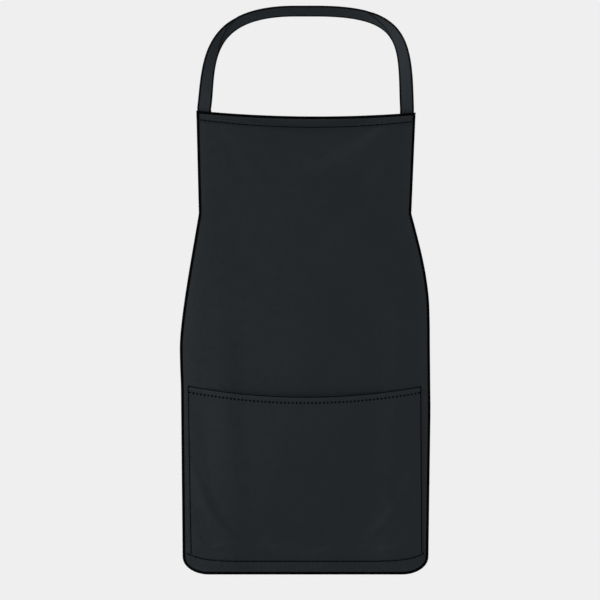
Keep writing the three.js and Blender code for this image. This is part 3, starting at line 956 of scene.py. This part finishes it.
# Where the webbing creases over each shoulder: shares down the side, with places across
SHOULDER_CREASES = {
    -1: [(0.25, 0.85), (0.32, 0.5), (0.39, 0.1), (0.46, -0.35), (0.56, -0.8)],
    1: [(0.22, 0.85), (0.27, 0.45), (0.33, -0.03), (0.41, -0.4), (0.5, -0.8)],
}
CREASE_HALF = 0.085  # of the strap's half width
CREASE_ENDS = 0.03


def shoulder_crease(shares, across):
    """How deep in a shoulder's crease a place of the strap is, and how high on the roll beside it, 0 to 1."""
    crease = np.zeros(np.broadcast(shares, across).shape)
    roll = crease.copy()
    for sign, line in SHOULDER_CREASES.items():
        at = sign * shares
        down, over = np.array(line).T
        inside = smoothstep((at - down[0]) / CREASE_ENDS) * smoothstep((down[-1] - at) / CREASE_ENDS)
        off = across - np.interp(at, down, over)
        crease += inside * np.exp(-((off / CREASE_HALF) ** 2))
        roll += inside * np.exp(-(((off - 3 * CREASE_HALF) / (2.5 * CREASE_HALF)) ** 2))
    return crease, roll


def neck_strap():
    middle, width, behind, shares = strap_frames()
    section = strap_section()
    across, through = section[:, 0], section[:, 1]
    crease, roll = shoulder_crease(shares[:, None], across[None, :])
    groove = CREASE_SIZE * (crease - 0.7 * roll)
    cupped = 0.0006 * (across**2)[None, :] * smoothstep((1 - np.abs(shares)) / 0.1)[:, None]
    thick = through * STRAP_THICKNESS + groove + cupped
    rings = middle[:, None] + width[:, None] * (across * STRAP_WIDTH / 2)[None, :, None]
    rings = rings + behind[:, None] * thick[..., None]
    uv = paired(lengths(middle), across * STRAP_WIDTH / 2)[..., ::-1]
    # the crease depth also goes to the material, where it becomes painted shade in the creases
    return swept("neck_strap_webbing", rings, uv, closed=False, wear_and_crease_shade=crease)


def tab_stitches(side):
    """The box and cross that hold a tab, sewn through the webbing."""
    low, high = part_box(f"strap_stitch_{side}")
    x0, x1 = low.x + TAB_SEAM_INSET, high.x - TAB_SEAM_INSET
    z0, z1 = low.z + TAB_SEAM_INSET, high.z - TAB_SEAM_INSET
    box = [(x0, z0), (x1, z0), (x1, z1), (x0, z1), (x0, z0)]
    lines = list(zip(box[:-1], box[1:])) + [((x0, z0), (x1, z1)), ((x0, z1), (x1, z0))]
    runs = []
    behind = STRAP_AT + STRAP_THICKNESS + THREAD_LIFT
    for a, b in lines:
        t = np.linspace(0, 1, 40)
        x, z = mix(a[0], b[0], t), mix(a[1], b[1], t)
        runs.append(straight_out(on_surface(depth, x, z) + (0, behind, 0), 1))
    return stitches(f"strap_tab_stitches_{side}", runs, **TAB_STITCH)


# ---- materials

class Shader:
    """Builds a material's nodes with few words: shader.math("SINE", a) gives that node's output."""

    def __init__(self, name):
        self.material = bpy.data.materials.new(name)
        self.material.use_nodes = True
        self.tree = self.material.node_tree
        self.surface = self.tree.nodes["Principled BSDF"]

    def put(self, kind, inputs, output=0, **settings):
        node = self.tree.nodes.new(kind)
        for key, value in settings.items():
            setattr(node, key, value)
        for key, value in inputs.items():
            if isinstance(value, bpy.types.NodeSocket):
                self.tree.links.new(value, node.inputs[key])
            else:
                node.inputs[key].default_value = value
        return node.outputs[output]

    def math(self, operation, a, b=0.0, c=0.0):
        return self.put("ShaderNodeMath", {0: a, 1: b, 2: c}, operation=operation)

    def split(self, vector):
        return self.put("ShaderNodeSeparateXYZ", {0: vector}).node.outputs[:2]

    def total(self, first, *others):
        for other in others:
            first = self.math("ADD", first, other)
        return first

    def shaded(self, colour, shade):
        """A colour times a grey."""
        grey_shade = self.put("ShaderNodeCombineColor", {0: shade, 1: shade, 2: shade})
        return self.blend(1.0, colour, grey_shade, "MULTIPLY")

    def noise(self, vector, scale, detail=3.0, roughness=0.55):
        return self.put(
            "ShaderNodeTexNoise", {"Vector": vector, "Scale": scale, "Detail": detail, "Roughness": roughness}
        )

    def span(self, value, low, high, to_low=0.0, to_high=1.0):
        return self.put(
            "ShaderNodeMapRange",
            {"Value": value, "From Min": low, "From Max": high, "To Min": to_low, "To Max": to_high},
        )

    def blend(self, share, a, b, mode="MIX"):
        """Inputs 6 and 7 and output 2 are the node's colours."""
        inputs = {0: share, 6: a, 7: b}
        return self.put("ShaderNodeMix", inputs, output=2, data_type="RGBA", blend_type=mode)

    def bump(self, height, distance, strength=1.0, normal=None):
        inputs = {"Height": height, "Distance": distance, "Strength": strength}
        if normal is not None:
            inputs["Normal"] = normal
        return self.put("ShaderNodeBump", inputs)

    def finish(self, colour, roughness, normal, specular):
        for key, value in (("Base Color", colour), ("Roughness", roughness), ("Normal", normal)):
            self.tree.links.new(value, self.surface.inputs[key])
        self.surface.inputs["Specular IOR Level"].default_value = specular
        return self.material


def grey(value):
    return (value, value, value, 1)


def cloth_places(shader):
    return shader.put("ShaderNodeUVMap", {}, uv_map="cloth_metres")


def wear_and_crease_shade_amount(shader, speckle):
    # the attribute holds edge wear on the cloth and painted shade in the strap's creases
    amount = shader.put("ShaderNodeAttribute", {}, output="Fac", attribute_name="wear_and_crease_shade")
    return shader.math("MULTIPLY", amount, speckle)


def woven(name, colour, worn, pitch, specular, roughness):
    """Plain-woven coated cloth: over-and-under threads, slubs, soft mottling, fine creases and worn edges."""
    s = Shader(name)
    uv = cloth_places(s)
    u, v = s.split(uv)
    waver = s.math("MULTIPLY", s.math("SUBTRACT", s.noise(uv, 160, 1), 0.5), pitch * 1.2)
    threads = [
        s.math("SINE", s.math("MULTIPLY", s.math("ADD", place, waver), math.pi / pitch)) for place in (u, v)
    ]
    weave = s.math("MULTIPLY_ADD", s.math("MULTIPLY", *threads), 0.5, 0.5)
    broad = s.noise(uv, 7, 3)
    cloudy = s.noise(uv, 38, 4, 0.6)
    fuzz = s.noise(uv, 950, 2, 0.7)
    crumple = s.noise(uv, 62, 5, 0.62)
    shade = s.total(
        s.span(broad, 0.3, 0.7, 0.93, 1.05), s.span(cloudy, 0.3, 0.7, -0.06, 0.06),
        s.span(weave, 0, 1, -0.2, 0.17), s.span(fuzz, 0.3, 0.7, -0.09, 0.09),
    )
    base = s.shaded(colour, shade)
    rubbed = wear_and_crease_shade_amount(s, s.span(s.noise(uv, 240, 3, 0.7), 0.42, 0.68))
    final = s.blend(rubbed, base, worn)
    rough = s.span(cloudy, 0.3, 0.7, roughness - 0.05, roughness + 0.05)
    rough = s.math("ADD", rough, s.math("MULTIPLY", rubbed, 0.12))
    normal = s.bump(crumple, 0.0015)
    normal = s.bump(weave, 0.00022, 0.8, normal)
    normal = s.bump(fuzz, 0.00006, 0.5, normal)
    return s.finish(final, rough, normal, specular)


def ribbed(name, colour, rib, across_rib, specular, roughness, edge=None, edge_at=None):
    """Narrow tape or webbing: crosswise ribs of lengthwise cords, painted shade in the creases, and an
    optional black selvedge.
    """
    s = Shader(name)
    uv = cloth_places(s)
    u, v = s.split(uv)
    cords = s.math("ABSOLUTE", s.math("SINE", s.math("MULTIPLY", u, math.pi / across_rib)))
    ribs = s.math("ABSOLUTE", s.math("SINE", s.math("MULTIPLY", v, math.pi / rib)))
    weave = s.math("MULTIPLY", cords, s.math("MULTIPLY_ADD", ribs, 0.6, 0.4))
    cloudy = s.noise(uv, 70, 4, 0.6)
    fuzz = s.noise(uv, 1300, 2, 0.7)
    shade = s.total(
        s.span(cloudy, 0.3, 0.7, 0.9, 1.08), s.span(weave, 0, 1, -0.14, 0.08),
        s.span(fuzz, 0.3, 0.7, -0.06, 0.06),
    )
    # painted shade: the webbing darkens almost to black where the attribute marks a crease
    shade = s.math("MULTIPLY", shade, s.span(wear_and_crease_shade_amount(s, 1.0), 0, 1, 1, 0.02))
    final = s.shaded(colour, shade)
    if edge is not None:
        from_middle = s.math("ABSOLUTE", u)
        uneven = s.math("ADD", from_middle, s.span(s.noise(uv, 500, 1), 0.3, 0.7, -0.0002, 0.0002))
        final = s.blend(s.span(uneven, edge_at - 0.0003, edge_at + 0.0003), final, edge)
    rough = s.span(cloudy, 0.3, 0.7, roughness - 0.06, roughness + 0.06)
    normal = s.bump(weave, 0.00035, 0.9)
    normal = s.bump(fuzz, 0.00008, 0.5, normal)
    return s.finish(final, rough, normal, specular)


def lead_vinyl():
    """Heavy filled vinyl: dull, faintly calendered, with powdery patches."""
    s = Shader("lead_vinyl")
    uv = cloth_places(s)
    patches, grain = s.noise(uv, 24, 4, 0.6), s.noise(uv, 620, 3, 0.6)
    rolled = s.put("ShaderNodeTexWave", {"Vector": uv, "Scale": 45.0, "Distortion": 1.5}, bands_direction="Y")
    colour = s.blend(s.span(patches, 0.35, 0.65), (0.055, 0.058, 0.062, 1), (0.085, 0.088, 0.09, 1))
    colour = s.blend(s.span(grain, 0.4, 0.7, 0.0, 0.3), colour, grey(0.12))
    normal = s.bump(grain, 0.0001, 0.6, s.bump(rolled, 0.0001, 0.3))
    return s.finish(colour, s.span(patches, 0.3, 0.7, 0.48, 0.62), normal, 0.3)


def bonded_thread():
    """Twisted black thread."""
    s = Shader("bonded_thread")
    uv = cloth_places(s)
    turned = s.put("ShaderNodeMapping", {"Vector": uv, "Rotation": (0, 0, math.radians(38))})
    twist = s.put("ShaderNodeTexWave", {"Vector": turned, "Scale": 700.0, "Distortion": 0.4})
    fuzz = s.noise(uv, 2200, 2)
    colour = s.blend(twist, grey(0.0002), grey(0.0008))
    colour = s.blend(s.span(fuzz, 0.55, 0.8, 0, 0.5), colour, grey(0.002))
    return s.finish(colour, s.span(fuzz, 0.3, 0.7, 0.55, 0.75), s.bump(twist, 0.00012, 0.8), 0.008)


SLATE = (0.0086, 0.0117, 0.0146, 1)
WEBBING_SLATE = (0.0216, 0.0266, 0.0312, 1)
WORN_SLATE = (0.024, 0.028, 0.031, 1)
LINING_SLATE = (0.0165, 0.0198, 0.0225, 1)
BLACK = (0.0014, 0.0015, 0.0016, 1)

MATERIALS = {
    "cover": woven("coated_nylon_front", SLATE, WORN_SLATE, 0.0011, 0.16, 0.52),
    "lining": woven("coated_nylon_lining", LINING_SLATE, WORN_SLATE, 0.0009, 0.1, 0.74),
    "webbing": ribbed(
        "slate_webbing", WEBBING_SLATE, 0.0022, 0.0016, 0.06, 0.75, BLACK, STRAP_WIDTH / 2 - SELVEDGE
    ),
    "binding": ribbed("black_binding_tape", BLACK, 0.0009, 0.0011, 0.015, 0.75),
    "lead_vinyl": lead_vinyl(),
    "thread": bonded_thread(),
}


# ---- scene

def camera():
    middle = [(a + b) / 2 for a, b in zip(*CAD_BOX)]
    data = bpy.data.cameras.new("front_camera")
    data.type = "ORTHO"
    data.ortho_scale = VIEW_SIZE
    piece = placed("front_camera", data)
    piece.location = (middle[0] + VIEW_OFFSET[0], middle[1] - VIEW_DISTANCE, middle[2] + VIEW_OFFSET[1])
    piece.rotation_euler = (math.radians(90), 0, 0)
    bpy.context.scene.camera = piece


def sun(name, azimuth, elevation, strength, softness):
    """A soft light from an azimuth (0 is the viewer's own, positive to the right) and a height in degrees."""
    data = bpy.data.lights.new(name, "SUN")
    data.energy = strength
    data.angle = math.radians(softness)
    placed(name, data).rotation_euler = (math.radians(90 - elevation), 0, math.radians(azimuth))


def studio():
    sun("key", -58, 36, 2.5, 28)
    sun("fill", 48, 10, 0.6, 50)
    sun("back", 155, 35, 1.2, 40)
    world = bpy.data.worlds.new("pale_room")
    world.use_nodes = True
    tree = world.node_tree
    seen, ambient = tree.nodes["Background"], tree.nodes.new("ShaderNodeBackground")
    seen.inputs["Color"].default_value = grey(0.8632)
    ambient.inputs["Color"].default_value = grey(0.9)
    ambient.inputs["Strength"].default_value = 0.35
    path, pick = tree.nodes.new("ShaderNodeLightPath"), tree.nodes.new("ShaderNodeMixShader")
    tree.links.new(path.outputs["Is Camera Ray"], pick.inputs[0])
    tree.links.new(ambient.outputs[0], pick.inputs[1])
    tree.links.new(seen.outputs[0], pick.inputs[2])
    tree.links.new(pick.outputs[0], tree.nodes["World Output"].inputs["Surface"])
    bpy.context.scene.world = world
    bpy.context.scene.view_settings.view_transform = "Standard"


def floor():
    z = CAD_BOX[0][2] - FLOOR_DROP
    corners = [(x * FLOOR_HALF, y * FLOOR_HALF, z) for x, y in ((-1, -1), (1, -1), (1, 1), (-1, 1))]
    mesh = bpy.data.meshes.new("floor")
    mesh.from_pydata(corners, [], [(0, 1, 2, 3)])
    s = Shader("pale_floor")
    s.surface.inputs["Base Color"].default_value = grey(0.8)
    s.surface.inputs["Roughness"].default_value = 0.9
    mesh.materials.append(s.material)
    placed("floor", mesh)


# ---- assembly

def dress(piece, slot, *nodes):
    piece.data.materials.append(MATERIALS[slot])
    if nodes:
        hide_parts(*nodes)
    return piece


def across_hip(piece):
    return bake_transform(piece)


def across_pocket(piece):
    """Bakes the piece's placement and works out a weight from 0 at the side seams to 1 in the middle, which
    nothing uses.
    """
    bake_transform(piece)
    x, _, z = mesh_points(piece.data).T
    weight = smoothstep(pocket_inward(x, z)).astype(np.float32)
    return piece


def flat_area(panel):
    z = np.linspace(panel.bottom_z, panel.top_level, 2000)
    return float(np.mean(panel.right(z) - panel.left(z)) * (panel.top_level - panel.bottom_z))


def flat_size(panel):
    left, right = panel.left_line[:, 0].min(), panel.right_line[:, 0].max()
    return float(right - left), float(panel.top_line[:, 1].max() - panel.bottom_z)


def build_panel():
    """The four sheets, the binding and the hems."""
    cover = across_hip(dress(front_cover(), "cover", "bib_front_cover", "skirt_front_cover"))
    lining = across_hip(dress(back_lining(), "lining", "bib_back_lining", "skirt_back_lining"))
    leads = [
        across_hip(dress(lead_sheet(which), "lead_vinyl", f"bib_lead_{which}", f"skirt_lead_{which}"))
        for which in ("outer", "inner")
    ]
    binding = across_hip(dress(edge_binding(), "binding", "bib_edge_binding", "skirt_edge_binding"))
    sewn_on = [binding, across_hip(dress(binding_stitches(), "thread"))]
    for end, body, seam in (("top", "bib", top_seam), ("bottom", "skirt", bottom_seam)):
        strip, row = hem(end, seam)
        dress(strip, "cover", f"{end}_hem_facing")
        dress(row, "thread", f"{end}_hem_thread")
        for piece in (strip, row):
            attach(piece, body)
            sewn_on.append(piece)
    full, area = flat_size(PANEL), flat_area(PANEL)
    core = Panel("bib_lead_outer", "skirt_lead_outer")
    for lead in leads:
        flat_area(core)
    return cover


def build_pocket(cover):
    pocket = dress(pocket_panel(), "cover", "pocket_panel", "pocket_hem_facing")
    mouth = pocket_row("pocket_mouth_stitches", MOUTH_STITCH_DROP, SEAM_STITCH)
    saddle = pocket_row("pocket_saddle_stitches", SADDLE_DROP, SADDLE_STITCH)
    rows = [dress(mouth, "thread"), dress(saddle, "thread", "pocket_hem_thread")]
    rows += [dress(pocket_side_row(side), "thread", f"pocket_side_thread_{side}") for side in SIDES]
    for piece in (pocket, *rows):
        across_pocket(piece)


def build_strap():
    strap = dress(neck_strap(), "webbing", "neck_strap", "strap_tab_left", "strap_tab_right")
    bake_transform(strap)
    for side in SIDES:
        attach(dress(tab_stitches(side), "thread", f"strap_stitch_{side}"), "bib")


camera()
studio()
floor()
build_pocket(build_panel())
build_strap()
